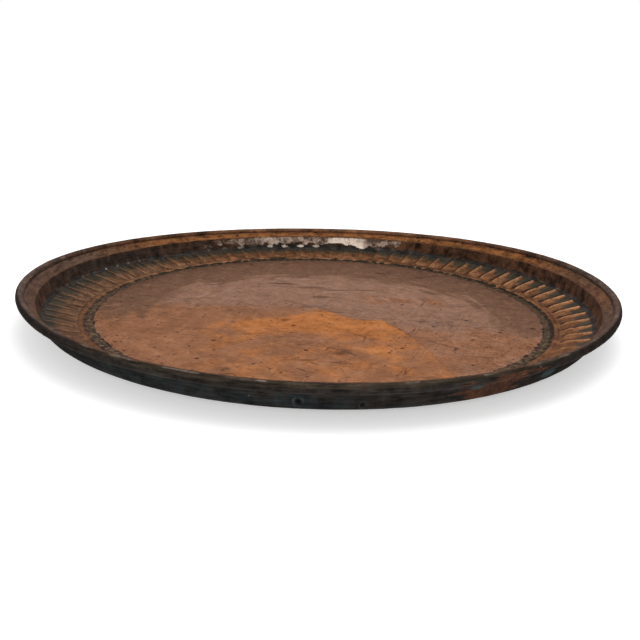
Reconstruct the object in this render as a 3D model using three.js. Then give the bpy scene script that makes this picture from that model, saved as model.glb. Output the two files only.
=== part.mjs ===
// A large round copper serving tray, raised from one sheet: a flat floor, a chased groove, a
// ridge ring, a ribbed band of flutes, an upright wall, a tilted flange, and an edge that is
// rolled over an iron ring. Millimetres, +Z up, with the origin at the centre of the flat face
// that the tray rests on.
import * as THREE from "three";
import { toCreasedNormals } from "three/addons/utils/BufferGeometryUtils.js";

// Every radius follows from the widths below, counted from the centre outwards.
const SHEET_THICKNESS = 1.2;

const FLOOR_RADIUS = 269;
const GROOVE_WIDTH = 13;
const GROOVE_DEPTH = 0.5;
const GROOVE_SIDE_WIDTH = 1.8;

const RIDGE_RING_WIDTH = 6;
const RIDGE_RING_HEIGHT = 1.7;
const RIDGE_RING_CREST_WIDTH = 2;

const BAND_WIDTH = 37.7;
const BAND_LIFT = 0.9; // how far the inner edge of the band lies above the floor
const BAND_SLOPE_DEG = 13;

const FLUTE_COUNT = 80;
const RIB_WIDTH = 10; // across the foot of the rib between two flutes, at mid band
const RIB_HEIGHT = 1.8;
const RIB_RUN_IN = 9; // length over which a rib rises from the ridge ring

const KNEE_RADIUS = 8; // inner radius between band and wall
const WALL_HEIGHT = 18.9;
const WALL_SLOPE_DEG = 75;

const FLANGE_WIDTH = 12.8; // measured up its slope
const FLANGE_SLOPE_DEG = 30.5;

const WIRE_DIAMETER = 5;
const WIRE_CLEARANCE = 0.3;
const LIP_GAP = 0.8; // slit between the end of the roll and the underside of the flange

// With age the rim has sprung out of true: it rises at two opposite places and falls between.
const RIM_SPRING = 3.2;
const RIM_SPRING_TURN_DEG = 8;

const ROLL_STEPS = 7;
const WIRE_SIDES = 6;
const KNEE_STEPS = 3;

const SHEET_COLOR = 0x9a6648;
const WIRE_COLOR = 0x3f3a36;

const radians = THREE.MathUtils.degToRad;

// Points of the section are Vector2: x is the radius and y the height.
const point = (radius, height) => new THREE.Vector2(radius, height);

// The unit vector that climbs outwards at an angle to the ground.
const climb = (angle) => point(Math.cos(angle), Math.sin(angle));

// The point that lies on a circle about a centre, at an angle from the outward direction.
const onCircle = (centre, radius, angle) => centre.clone().addScaledVector(climb(angle), radius);

// A direction turned a quarter turn to its left, which is upwards for an outward direction.
const leftOf = (direction) => point(-direction.y, direction.x);

const FLUTE_PITCH = (2 * Math.PI) / FLUTE_COUNT;
const bandSlope = radians(BAND_SLOPE_DEG);
const wallSlope = radians(WALL_SLOPE_DEG);
const flangeSlope = radians(FLANGE_SLOPE_DEG);
const halfSheet = SHEET_THICKNESS / 2;

// The upper side of the sheet, as corners of its section.
const grooveOuter = FLOOR_RADIUS + GROOVE_WIDTH;
const ringMiddle = grooveOuter + RIDGE_RING_WIDTH / 2;
const bandStart = point(grooveOuter + RIDGE_RING_WIDTH, SHEET_THICKNESS + BAND_LIFT);
const wallFoot = point(
  bandStart.x + BAND_WIDTH,
  bandStart.y + BAND_WIDTH * Math.tan(bandSlope),
);
const wallTop = point(wallFoot.x + WALL_HEIGHT / Math.tan(wallSlope), wallFoot.y + WALL_HEIGHT);
const crease = wallTop.clone().addScaledVector(climb(flangeSlope), FLANGE_WIDTH);

// The knee is an arc that touches the band and the wall.
const kneeReach = KNEE_RADIUS * Math.tan((wallSlope - bandSlope) / 2);
const kneeStart = wallFoot.clone().addScaledVector(climb(bandSlope), -kneeReach);
const kneeCentre = kneeStart.clone().addScaledVector(leftOf(climb(bandSlope)), KNEE_RADIUS);

// The roll: its hollow clears the wire all round, and the middle of the flange aims at its
// centre. Its arcs run from the crease over the top and round to the lip.
const hollowTurn = 2 * Math.PI - LIP_GAP / (WIRE_DIAMETER / 2 + WIRE_CLEARANCE);
const hollowRadius =
  (WIRE_DIAMETER / 2 + WIRE_CLEARANCE) / Math.cos(hollowTurn / ROLL_STEPS / 2);
const beadRadius = hollowRadius + SHEET_THICKNESS;
const rollCentre = crease
  .clone()
  .addScaledVector(climb(flangeSlope), Math.sqrt(beadRadius ** 2 - halfSheet ** 2))
  .addScaledVector(leftOf(climb(flangeSlope)), -halfSheet);
const creaseAngle = Math.PI + flangeSlope - Math.asin(halfSheet / beadRadius);
const hollowEndAngle = Math.PI + flangeSlope + Math.asin(halfSheet / hollowRadius);
const lipAngle = hollowEndAngle + LIP_GAP / hollowRadius - 2 * Math.PI;
const ribbedRadius = (bandStart.x + wallFoot.x) / 2;

// A column set is the list of angles at which a ring has its vertices, each with the share of
// the rib's height that it takes.
const evenColumns = (count) =>
  Array.from({ length: count }, (_, i) => ({ angle: (2 * Math.PI * i) / count, rib: 0 }));

function ribColumns() {
  const flank = RIB_WIDTH / 2 / ribbedRadius;
  return Array.from({ length: FLUTE_COUNT }, (_, i) => i * FLUTE_PITCH).flatMap((crest) => [
    { angle: crest, rib: 1 },
    { angle: crest + flank, rib: 0 },
    { angle: crest + FLUTE_PITCH - flank, rib: 0 },
  ]);
}

const POLE = evenColumns(1);
const COARSE = evenColumns(FLUTE_COUNT);
const FINE = evenColumns(2 * FLUTE_COUNT);
const RIBBED = ribColumns();

// One ring of the surface: a point of the section, its columns, the height of its ribs, and
// how deep the upper side is chased below the sheet's true surface.
const ring = (at, columns, { ribs = 0, chased = 0 } = {}) => ({ at, columns, ribs, chased });

function upperRings() {
  const arc = (step) => {
    const turn = bandSlope + ((wallSlope - bandSlope) * step) / KNEE_STEPS;
    return onCircle(kneeCentre, KNEE_RADIUS, turn - Math.PI / 2);
  };
  const ribFoot = bandStart.clone().addScaledVector(climb(bandSlope), RIB_RUN_IN);
  const crestHeight = SHEET_THICKNESS + RIDGE_RING_HEIGHT;
  return [
    ring(point(0, SHEET_THICKNESS), POLE),
    ring(point(FLOOR_RADIUS, SHEET_THICKNESS), COARSE),
    ring(point(FLOOR_RADIUS + GROOVE_SIDE_WIDTH, SHEET_THICKNESS), COARSE, {
      chased: GROOVE_DEPTH,
    }),
    ring(point(grooveOuter - GROOVE_SIDE_WIDTH, SHEET_THICKNESS), COARSE, {
      chased: GROOVE_DEPTH,
    }),
    ring(point(ringMiddle - RIDGE_RING_CREST_WIDTH / 2, crestHeight), COARSE),
    ring(point(ringMiddle + RIDGE_RING_CREST_WIDTH / 2, crestHeight), COARSE),
    ring(bandStart, RIBBED),
    ring(ribFoot, RIBBED, { ribs: RIB_HEIGHT }),
    ring(arc(0), RIBBED, { ribs: RIB_HEIGHT }),
    ring(arc(1), RIBBED, { ribs: RIB_HEIGHT / 2 }),
    ring(arc(2), FINE),
    ring(arc(3), FINE),
    ring(wallTop, FINE),
    ring(crease, FINE),
  ];
}

// The lower side lies one sheet thickness under the upper side, with its corners mitred. The
// pole and the crease only give the direction there: the floor's underside has its own pole,
// and the roll has its own inner end.
function lowerRings(upper) {
  const inner = upper.slice(1, -1).map((here, i) => {
    const before = here.at.clone().sub(upper[i].at).normalize();
    const after = upper[i + 2].at.clone().sub(here.at).normalize();
    const mitre = leftOf(before).add(leftOf(after)).normalize();
    const depth = SHEET_THICKNESS / mitre.dot(leftOf(after));
    return ring(here.at.clone().addScaledVector(mitre, -depth), here.columns, {
      ribs: here.ribs,
    });
  });
  const underGroove = 2; // the chasing does not show below, so the floor stays one flat face
  return [ring(point(0, 0), POLE), ...inner.slice(underGroove)];
}

// The bead's outside from the crease to the lip, then its hollow from the lip back to the
// flange.
function rollRings() {
  const between = (from, to, step) => from + ((to - from) * step) / ROLL_STEPS;
  const outside = [];
  const hollow = [];
  for (let step = 0; step <= ROLL_STEPS; step++) {
    const out = onCircle(rollCentre, beadRadius, between(creaseAngle, lipAngle, step));
    const back = onCircle(rollCentre, hollowRadius, between(lipAngle, hollowEndAngle, step));
    outside.push(ring(out, FINE));
    hollow.push(ring(back, FINE));
  }
  return [...outside.slice(1), ...hollow];
}

// How far the sprung rim lifts a point: nothing up to the ridge ring, all of it past the crease.
function springLift(radius, angle) {
  const share = (radius - ringMiddle) / (crease.x - ringMiddle);
  const wave = Math.cos(2 * (angle - radians(RIM_SPRING_TURN_DEG)));
  return RIM_SPRING * THREE.MathUtils.clamp(share, 0, 1) * wave;
}

// Joins rings into one closed surface. Neighbouring rings may have different columns: the
// strip between them always steps along the ring whose next column comes first.
function surfaceOf(rings, closesOnItself) {
  const positions = [];
  const indices = [];
  const starts = rings.map(({ at, columns, ribs, chased }) => {
    const start = positions.length / 3;
    for (const { angle, rib } of columns) {
      const height = at.y + ribs * rib - chased + springLift(at.x, angle);
      positions.push(at.x * Math.cos(angle), at.x * Math.sin(angle), height);
    }
    return start;
  });

  const strips = closesOnItself ? rings.length : rings.length - 1;
  for (let s = 0; s < strips; s++) {
    const next = (s + 1) % rings.length;
    const [a, b] = [rings[s].columns, rings[next].columns];
    const nextAngle = (columns, k) => (k + 1 < columns.length ? columns[k + 1].angle : 2 * Math.PI);
    const vertexA = (k) => starts[s] + (k % a.length);
    const vertexB = (k) => starts[next] + (k % b.length);
    const endA = a.length > 1 ? a.length : 0;
    const endB = b.length > 1 ? b.length : 0;
    let i = 0;
    let j = 0;
    while (i < endA || j < endB) {
      const stepA = j >= endB || (i < endA && nextAngle(a, i) <= nextAngle(b, j));
      if (stepA) {
        indices.push(vertexA(i), vertexB(j), vertexA(i + 1));
        i++;
      } else {
        indices.push(vertexA(i), vertexB(j), vertexB(j + 1));
        j++;
      }
    }
  }

  const geometry = new THREE.BufferGeometry();
  geometry.setAttribute("position", new THREE.Float32BufferAttribute(positions, 3));
  geometry.setIndex(indices);
  return toCreasedNormals(geometry, radians(35));
}

// The whole tray but for its wire: floor, groove, ridge ring, ribbed band, wall, flange, roll.
function traySheet() {
  const upper = upperRings();
  const rings = [...upper, ...rollRings(), ...lowerRings(upper).reverse()];
  const material = new THREE.MeshStandardMaterial({
    color: SHEET_COLOR,
    metalness: 0.9,
    roughness: 0.45,
  });
  const sheet = new THREE.Mesh(surfaceOf(rings, false), material);
  sheet.name = "tray_sheet";
  return sheet;
}

// The iron ring that stiffens the rim, loose in the hollow of the roll.
function rimWire() {
  const rings = Array.from({ length: WIRE_SIDES }, (_, side) => {
    const angle = (-2 * Math.PI * side) / WIRE_SIDES;
    return ring(onCircle(rollCentre, WIRE_DIAMETER / 2, angle), FINE);
  });
  const material = new THREE.MeshStandardMaterial({
    color: WIRE_COLOR,
    metalness: 0.8,
    roughness: 0.7,
  });
  const wire = new THREE.Mesh(surfaceOf(rings, true), material);
  wire.name = "rim_wire";
  return wire;
}

const tray = new THREE.Group();
tray.add(traySheet(), rimWire());

export default tray;
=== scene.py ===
"""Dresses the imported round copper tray: a dense hammered sheet, aged copper, a pale studio and the camera."""

import functools
import itertools
import math

import bpy
import numpy as np
from mathutils import Matrix, Vector


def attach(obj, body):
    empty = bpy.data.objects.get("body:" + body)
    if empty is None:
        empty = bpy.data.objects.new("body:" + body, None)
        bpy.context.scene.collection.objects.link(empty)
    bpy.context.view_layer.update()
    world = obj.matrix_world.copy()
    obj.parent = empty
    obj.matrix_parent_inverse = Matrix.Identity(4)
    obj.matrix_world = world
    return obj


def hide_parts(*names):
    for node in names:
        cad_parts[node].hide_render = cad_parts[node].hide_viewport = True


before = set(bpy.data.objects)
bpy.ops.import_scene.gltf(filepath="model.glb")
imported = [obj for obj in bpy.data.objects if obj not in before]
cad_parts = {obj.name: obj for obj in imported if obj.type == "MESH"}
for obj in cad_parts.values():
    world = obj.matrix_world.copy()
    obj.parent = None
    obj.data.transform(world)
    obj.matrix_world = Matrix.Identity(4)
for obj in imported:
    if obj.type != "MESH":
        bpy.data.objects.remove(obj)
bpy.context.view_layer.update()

MM = 0.001
TURN = 2 * math.pi

# Sizes of the sheet, as in the CAD
SHEET_THICKNESS = 1.2 * MM
FLOOR_RADIUS = 269 * MM
GROOVE_WIDTH = 13 * MM
GROOVE_DEPTH = 0.5 * MM
GROOVE_SIDE_WIDTH = 1.8 * MM
RIDGE_RING_WIDTH = 6 * MM
RIDGE_RING_HEIGHT = 1.7 * MM
RIDGE_RING_CREST_WIDTH = 2 * MM
BAND_WIDTH = 37.7 * MM
BAND_LIFT = 0.9 * MM
BAND_SLOPE_DEG = 13
KNEE_RADIUS = 8 * MM
WALL_HEIGHT = 18.9 * MM
WALL_SLOPE_DEG = 75
FLANGE_WIDTH = 12.8 * MM
FLANGE_SLOPE_DEG = 30.5
BEAD_RADIUS = 4.28 * MM
LIP_GAP = 0.8 * MM
HOLLOW_RADIUS = BEAD_RADIUS - SHEET_THICKNESS
ROLL_TILT_DEG = 22.4
ROLL_SWEEP_DEG = 325.9

# Hand-made irregularities
RIM_SPRING = 3.7 * MM
RIM_SPRING_TURN_DEG = 9.5
RIB_COUNT = 80
RIB_HEIGHT = 2.1 * MM
RIB_STEEP_SHARE = 0.2
FIRST_RIB_DEG = -0.6
RIB_DRIFT = 0.45
LEFT_RIBS_WORN = 0.45
FAR_RIBS_WORN = 0.5
PUNCH_COUNT = 315
PUNCH_DEPTH = 0.22 * MM
ROLL_SWELL = 1.7 * MM
ROLL_SWELL_DEG = -100
# Round dents on the outer wall: angle, height, radius and depth
WALL_DENTS = ((-92.6, 18.5 * MM, 3.6 * MM, 0.9 * MM), (-83.1, 15.5 * MM, 2.8 * MM, 0.7 * MM))

# Top edge of the patch of the floor that is rubbed bright
PATCH_SHOULDER_Y = -42 * MM
PATCH_PEAK = 35 * MM
PATCH_EDGE_SCALE = 60 * MM
# Length up the band and the wall's foot that stands for 1 in the run layer
RIB_SCALE = 60 * MM

# Fineness of the mesh
COLUMNS = 1600
FEWEST_COLUMNS = 50
SECTION_STEP = 0.1 * MM
ROUNDING_STEPS = 12
ARC_POINTS = 72
SHARPEST_BEND_DEG = 14

# Map of the floor: middle and width of the upper side, and of the underside in the corner that it leaves free
UPPER_DISC = (0.43, 0.84)
UNDER_DISC = (0.835, 0.32)
# Maps of the band and the rim: the quarters lie on top of each other
QUARTERS = 4
QUARTER_FILL = 0.95
SPAN_GAP = 0.02
MAP_MARGIN = 0.003

# Noise of the mesh: it repeats after this many lumps, and the gain brings it to about -1 to 1
LATTICE = 256
NOISE_GAIN = 1.6

# Hairlines of the material: half their share of the noise that draws them
HAIRLINE = 0.015

# Studio: its floor, and the light from all round
STUDIO_HALF_WIDTH = 6
STUDIO_FLOOR_HEIGHT = -0.2 * MM
STUDIO_GREY = 0.85
STUDIO_GLOW = 0.45
STUDIO_LIGHT = 0.7

# Camera, fitted to the tray's rings in the photograph
CAMERA_TILT_DEG = 17.119
CAMERA_ROLL_DEG = 1.452
CAMERA_DISTANCE = 0.963
CAMERA_RIGHT = 1.6 * MM
CAMERA_UP = -13 * MM
CAMERA_LENS_MM = 43.45
SENSOR_MM = 36


def smooth(value, start, end):
    """0 up to start and 1 from end on, with a soft ramp between; start may be the larger one."""
    share = np.clip((value - start) / (end - start), 0, 1)
    return share * share * (3 - 2 * share)


def lobe(angle, centre_deg, width_deg):
    """1 at an angle round the tray and fading to both sides of it."""
    apart = (angle - math.radians(centre_deg) + math.pi) % TURN - math.pi
    return np.exp(-((apart / math.radians(width_deg)) ** 2))


def unit(vectors):
    """The same directions with length 1."""
    return vectors / np.maximum(np.linalg.norm(vectors, axis=-1, keepdims=True), 1e-12)


def noise(points, size, seed):
    """Smooth noise of about -1 to 1, with lumps about size metres wide."""
    draw = np.random.default_rng(seed)
    order = draw.permutation(LATTICE)
    gradients = unit(draw.normal(size=(LATTICE, 3)))
    cell = points / size
    low = np.floor(cell).astype(int)
    part = cell - low
    ease = part**3 * (part * (part * 6 - 15) + 10)
    total = np.zeros(len(points))
    for corner in itertools.product((0, 1), repeat=3):
        index = 0
        for coordinate in (low + corner).T:
            index = order[(index + coordinate) % LATTICE]
        weight = np.prod(np.where(corner, ease, 1 - ease), axis=1)
        total += weight * np.einsum("ij,ij->i", gradients[index], part - corner)
    return NOISE_GAIN * total


# Section of the sheet, from the middle of the floor out over the bead and back underneath


def climb(start, length, slope_deg):
    slope = math.radians(slope_deg)
    return start + length * np.array([math.cos(slope), math.sin(slope)])


def rounded(corners, roundings):
    """An outline through corners, each rounded off by about its own radius."""
    path = [corners[0]]
    for before, here, after, radius in zip(corners, corners[1:], corners[2:], roundings):
        back, on = unit(before - here), unit(after - here)
        turn = math.pi - math.acos(np.clip(back @ on, -1, 1))
        reach = radius * math.tan(turn / 2)
        for t in np.linspace(0, 1, ROUNDING_STEPS):
            path.append(here + reach * ((1 - t) ** 2 * back + t**2 * on))
    path.append(corners[-1])
    return np.array(path)


def shifted(corners, distance):
    """The corners of the same outline, a distance to its right, mitred."""
    heading = unit(np.diff(corners, axis=0))
    right = np.stack([heading[:, 1], -heading[:, 0]], 1)
    mitres = [right[0]]
    for one, other in zip(right, right[1:]):
        mitres.append((one + other) / (1 + one @ other))
    mitres.append(right[-1])
    return corners + distance * np.array(mitres)


def resampled(wanted, arc, path):
    """Points of a path at the wanted places along it."""
    return np.stack([np.interp(wanted, arc, path[:, k]) for k in (0, 1)], 1)


def arc_points(centre, radius, start_deg, end_deg):
    angles = np.radians(np.linspace(start_deg, end_deg, ARC_POINTS))
    return centre + radius * np.stack([np.cos(angles), np.sin(angles)], 1)


def at(radius, height):
    return np.array([radius, height])


floor_edge = at(FLOOR_RADIUS, SHEET_THICKNESS)
groove_inner = floor_edge + at(GROOVE_SIDE_WIDTH, -GROOVE_DEPTH)
groove_outer = floor_edge + at(GROOVE_WIDTH - GROOVE_SIDE_WIDTH, -GROOVE_DEPTH)
ring_middle = floor_edge + at(GROOVE_WIDTH + RIDGE_RING_WIDTH / 2, RIDGE_RING_HEIGHT)
ring_inner = ring_middle - at(RIDGE_RING_CREST_WIDTH / 2, 0)
ring_outer = ring_middle + at(RIDGE_RING_CREST_WIDTH / 2, 0)
band_start = floor_edge + at(GROOVE_WIDTH + RIDGE_RING_WIDTH, BAND_LIFT)
wall_foot = climb(band_start, BAND_WIDTH / math.cos(math.radians(BAND_SLOPE_DEG)), BAND_SLOPE_DEG)
knee_end = climb(wall_foot, 6 * MM, WALL_SLOPE_DEG)
wall_top = climb(wall_foot, WALL_HEIGHT / math.sin(math.radians(WALL_SLOPE_DEG)), WALL_SLOPE_DEG)
crease = climb(wall_top, FLANGE_WIDTH, FLANGE_SLOPE_DEG)
roll_centre = climb(crease, BEAD_RADIUS, ROLL_TILT_DEG)


def make_section():
    """Evenly spaced places along the whole section, and its points there."""
    inside = [at(0, SHEET_THICKNESS), floor_edge, groove_inner, groove_outer, ring_inner, ring_outer]
    inside += [band_start, wall_foot, wall_top, crease]
    inside_rounding = np.array([0.8, 0.8, 1, 1, 1, 0.8, KNEE_RADIUS / MM, 1]) * MM
    start = 180 + ROLL_TILT_DEG
    end = start - ROLL_SWEEP_DEG
    roll = arc_points(roll_centre, BEAD_RADIUS, start, end)
    gap_deg = math.degrees(LIP_GAP / HOLLOW_RADIUS)
    hollow = arc_points(roll_centre, HOLLOW_RADIUS, end, end + 360 - gap_deg)
    under = shifted(np.array(inside[3:]), SHEET_THICKNESS)
    groove_slope = (under[1] - under[0]) / (under[1] - under[0])[1]
    under[0] = under[1] - groove_slope * under[1][1]
    under[-1] = hollow[-1]
    outside = [*under[::-1], at(0, 0)]
    outside_rounding = np.array([0.4, KNEE_RADIUS / MM + 1.2, 0.8, 1, 1, 1]) * MM
    parts = [rounded(inside, inside_rounding), roll[1:], hollow, rounded(outside, outside_rounding)[1:]]
    path = np.concatenate(parts)
    arc = np.concatenate([[0], np.cumsum(np.linalg.norm(np.diff(path, axis=0), axis=1))])
    even = np.linspace(0, arc[-1], round(arc[-1] / SECTION_STEP) + 1)
    return even, resampled(even, arc, path)


section_arc, section = make_section()
LIP_ARC = section_arc[np.argmin(np.linalg.norm(section - (roll_centre + at(0, -HOLLOW_RADIUS)), axis=1))]


def arc_of(point, underneath=False):
    """How far along the section the spot nearest to a point is, on its upper or lower side."""
    away = np.linalg.norm(section - point, axis=1)
    side = section_arc > LIP_ARC if underneath else section_arc <= LIP_ARC
    return section_arc[np.argmin(np.where(side, away, np.inf))]


FLOOR_END = arc_of(floor_edge - at(1 * MM, 0))
GROOVE_START = arc_of(floor_edge)
GROOVE_END = arc_of(groove_outer)
BAND_START = arc_of(band_start)
WALL_FOOT = arc_of(wall_foot)
KNEE_END = arc_of(knee_end)
WALL_TOP = arc_of(wall_top)
CREASE = arc_of(crease)
BEAD_TOP = arc_of(roll_centre + at(0, BEAD_RADIUS))
BEAD_SIDE = arc_of(roll_centre + at(BEAD_RADIUS, 0))
BEAD_FOOT = arc_of(roll_centre - at(0, BEAD_RADIUS))
UNDER_WALL_TOP = arc_of(wall_top, True)
UNDER_KNEE = arc_of(knee_end, True)
UNDER_FLOOR = arc_of(floor_edge - at(1 * MM, SHEET_THICKNESS), True)
END = section_arc[-1]


# Rings and columns


def ring_arcs(start, end, spacing):
    """Places for rings from start to end, spacing apart, closer where the section bends."""
    heading = np.unwrap(np.arctan2(*np.diff(section, axis=0).T[::-1]))
    bend = np.minimum(np.degrees(np.abs(np.diff(heading, prepend=heading[0]))), SHARPEST_BEND_DEG)
    cost = np.concatenate([[0], np.cumsum(SECTION_STEP / spacing + bend / SHARPEST_BEND_DEG)])
    first, last = np.interp([start, end], section_arc, cost)
    wanted = np.linspace(first, last, math.ceil(last - first) + 1)
    return np.interp(wanted, cost, section_arc)


def columns_at(radius):
    """Fewer columns nearer the middle, so that the cells stay about square."""
    if radius < 1 * MM:
        return 1
    halvings = max(0, math.ceil(math.log2(FLOOR_RADIUS / radius) - 0.01))
    return max(COLUMNS // 2 >> halvings, FEWEST_COLUMNS)


def ring_table():
    """(zone, arc, columns) of each ring. Zones share the ring where they meet."""
    zones = (
        ("floor", 0, FLOOR_END, 2.1 * MM),
        ("band", FLOOR_END, KNEE_END, 1.5 * MM),
        ("rim", KNEE_END, UNDER_KNEE, 1.9 * MM),
        ("band", UNDER_KNEE, UNDER_FLOOR, 3 * MM),
        ("floor", UNDER_FLOOR, END, 4 * MM),
    )
    table = []
    for number, (name, start, end, spacing) in enumerate(zones):
        for arc in ring_arcs(start, end, spacing)[0 if number == 0 else 1 :]:
            radius = np.interp(arc, section_arc, section[:, 0])
            if name == "floor":
                columns = columns_at(radius)
            elif UNDER_KNEE < arc or arc <= FLOOR_END:
                columns = COLUMNS // 2
            else:
                columns = COLUMNS
            table.append((name, arc, columns))
    return table


def strip(count_first, count_second):
    """Faces between two rings, as (ring, column) of each corner, with columns counted on past the last."""
    if count_first < count_second:
        mirrored = strip(count_second, count_first)
        return [[(1 - ring, column) for ring, column in reversed(face)] for face in mirrored]
    if count_second == 1:
        j = np.arange(count_first)
        return [[(0, j), (1, 0 * j), (0, j + 1)]]
    j = np.arange(count_second)
    if count_first == count_second:
        return [[(0, j), (1, j), (1, j + 1), (0, j + 1)]]
    return [
        [(0, 2 * j), (1, j), (0, 2 * j + 1)],
        [(0, 2 * j + 1), (1, j), (1, j + 1)],
        [(0, 2 * j + 1), (1, j + 1), (0, 2 * j + 2)],
    ]


# Shape of the hammered surface


def rim_spring(radius, angle):
    """How far the sprung rim lifts or drops the sheet."""
    share = np.clip((radius - ring_middle[0]) / (crease[0] - ring_middle[0]), 0, 1)
    return RIM_SPRING * share * np.cos(2 * (angle - math.radians(RIM_SPRING_TURN_DEG)))


def rib_phase(angle):
    """Counts the ribs round the band, whole at each crest. They were struck a little wider on the right."""
    wander = 0.12 * np.sin(7 * angle + 1) + 0.08 * np.sin(17 * angle)
    drift = -RIB_DRIFT * np.sin(angle) + wander * (1 - np.cos(angle)) / 2
    return RIB_COUNT * (angle - math.radians(FIRST_RIB_DEG)) / TURN + drift


def rib_number(phase):
    return np.floor(phase + 0.5).astype(int) % RIB_COUNT


def band_run(flat):
    """How far each point is up the fluted band and on up the wall's foot."""
    return (flat[:, 0] - band_start[0]) + (flat[:, 1] - band_start[1])


def ribs(flat, angle, underneath):
    """Share of the full rib height at each point: tongues with one steep side that climb the wall's foot."""
    phase = rib_phase(angle)
    number = rib_number(phase)
    draw = np.random.default_rng(5)
    heights = draw.uniform(0.75, 1.15, RIB_COUNT)[number]
    heights *= 1 - LEFT_RIBS_WORN * lobe(angle, 170, 55) - FAR_RIBS_WORN * lobe(angle, 84, 28)
    tips = draw.uniform(-2.5, 2.5, RIB_COUNT)[number] * MM
    along = band_run(flat)
    part = phase % 1
    narrow = 1.3 + 2.4 * smooth(along, 14 * MM, 40 * MM)
    gentle = np.clip((part - RIB_STEEP_SHARE) / (1 - RIB_STEEP_SHARE), 0, 1) ** narrow
    steep = smooth(part, RIB_STEEP_SHARE, 0)
    run_in = smooth(along, 3 * MM, 14 * MM)
    run_out = smooth(along - tips, 55 * MM, 43 * MM)
    run_out_below = smooth(along, 40 * MM, 33 * MM)
    return heights * np.maximum(gentle, steep) * run_in * np.where(underneath, run_out_below, run_out)


def punches(point, arc, angle):
    """The row of chasing marks along the groove."""
    wander = noise(point, 40 * MM, 31)
    row = smooth(np.abs(arc - (GROOVE_START + GROOVE_END) / 2 - 1 * MM * wander), 4.6 * MM, 3 * MM)
    return row * smooth(np.sin(PUNCH_COUNT * angle + 2.5 * wander), -0.2, 0.6)


def off_dent(flat, angle, turn_deg, height):
    """How far each point of the wall is from the middle of a dent on its near side."""
    round_wall = (angle - TURN - math.radians(turn_deg)) * flat[:, 0]
    return np.hypot(round_wall, flat[:, 1] - height)


def relief(flat, arc, angle, spot, underneath):
    """How far the hand-made surface stands off the plain section, along the sheet's upper side."""
    radius = flat[:, 0]
    on_floor = smooth(radius, FLOOR_RADIUS, FLOOR_RADIUS - 12 * MM)
    on_wall = smooth(flat[:, 1], 13 * MM, 18 * MM)
    on_bead = smooth(np.linalg.norm(flat - roll_centre, axis=1), BEAD_RADIUS + 1 * MM, BEAD_RADIUS)
    waves = 0.65 * noise(spot, 110 * MM, 1) + 0.35 * noise(spot, 42 * MM, 2) + 0.1 * noise(spot, 15 * MM, 3)
    drawn_out = spot * np.array([1, 1, 0.22])
    facets = (0.06 + 0.24 * lobe(angle, 92, 36)) * np.abs(noise(drawn_out, 8 * MM, 4))
    facets += 0.08 * noise(spot, 5 * MM, 5)
    hammered = 0.12 * noise(spot, 16 * MM, 6) + 0.05 * noise(spot, 6 * MM, 7)
    dented = 0.3 * noise(spot, 90 * MM, 8) + 0.16 * noise(spot, 22 * MM, 9)
    clear_of_table = 0.2 * smooth(radius, 300 * MM, 285 * MM)
    push = on_floor * (0.55 + 0.5 * waves) + (1 - on_floor) * (hammered + clear_of_table)
    push += on_wall * (1 - on_bead) * facets * smooth(flat[:, 1], wall_top[1] + 3 * MM, wall_top[1])
    push += on_wall * dented * (1 - 0.3 * on_bead)
    upper_half = smooth(flat[:, 1] - roll_centre[1], -BEAD_RADIUS, BEAD_RADIUS)
    push += ROLL_SWELL / MM * on_bead * upper_half * lobe(angle, ROLL_SWELL_DEG, 55)
    push *= MM
    push += RIB_HEIGHT * ribs(flat, angle, underneath)
    push -= PUNCH_DEPTH * punches(spot, arc, angle) * ~underneath
    for turn_deg, height, size, depth in WALL_DENTS:
        away = off_dent(flat, angle, turn_deg, height)
        push += depth * smooth(away, size, 0.3 * size) * (arc > BEAD_FOOT)
    return push


# Where each finish and each painted light or shade lies, from 0 to 1 at each point of the sheet


def between(arc, start, end, soft):
    return smooth(arc, start - soft, start + soft) * smooth(arc, end + soft, end - soft)


def patch_top(x):
    """How far up the floor the rubbed patch reaches: a peak between two falling shoulders."""
    peak = PATCH_PEAK * np.exp(-((x / (26 * MM)) ** 2))
    fall_right = 100 * MM * (np.maximum(x - 60 * MM, 0) / (56 * MM)) ** 2
    fall_left = 60 * MM * (np.maximum(-100 * MM - x, 0) / (40 * MM)) ** 2
    return PATCH_SHOULDER_Y + peak - fall_right - fall_left


def blot(x, y, middle, size):
    """A soft oval, 1 in its middle."""
    return np.exp(-(((x - middle[0]) / size[0]) ** 2) - ((y - middle[1]) / size[1]) ** 2)


def blots(x, y, *ovals):
    """The sum of soft ovals: the strength of each and, in millimetres, its middle and its half sides."""
    return sum(strength * blot(x / MM, y / MM, middle, size) for strength, middle, size in ovals)


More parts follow.
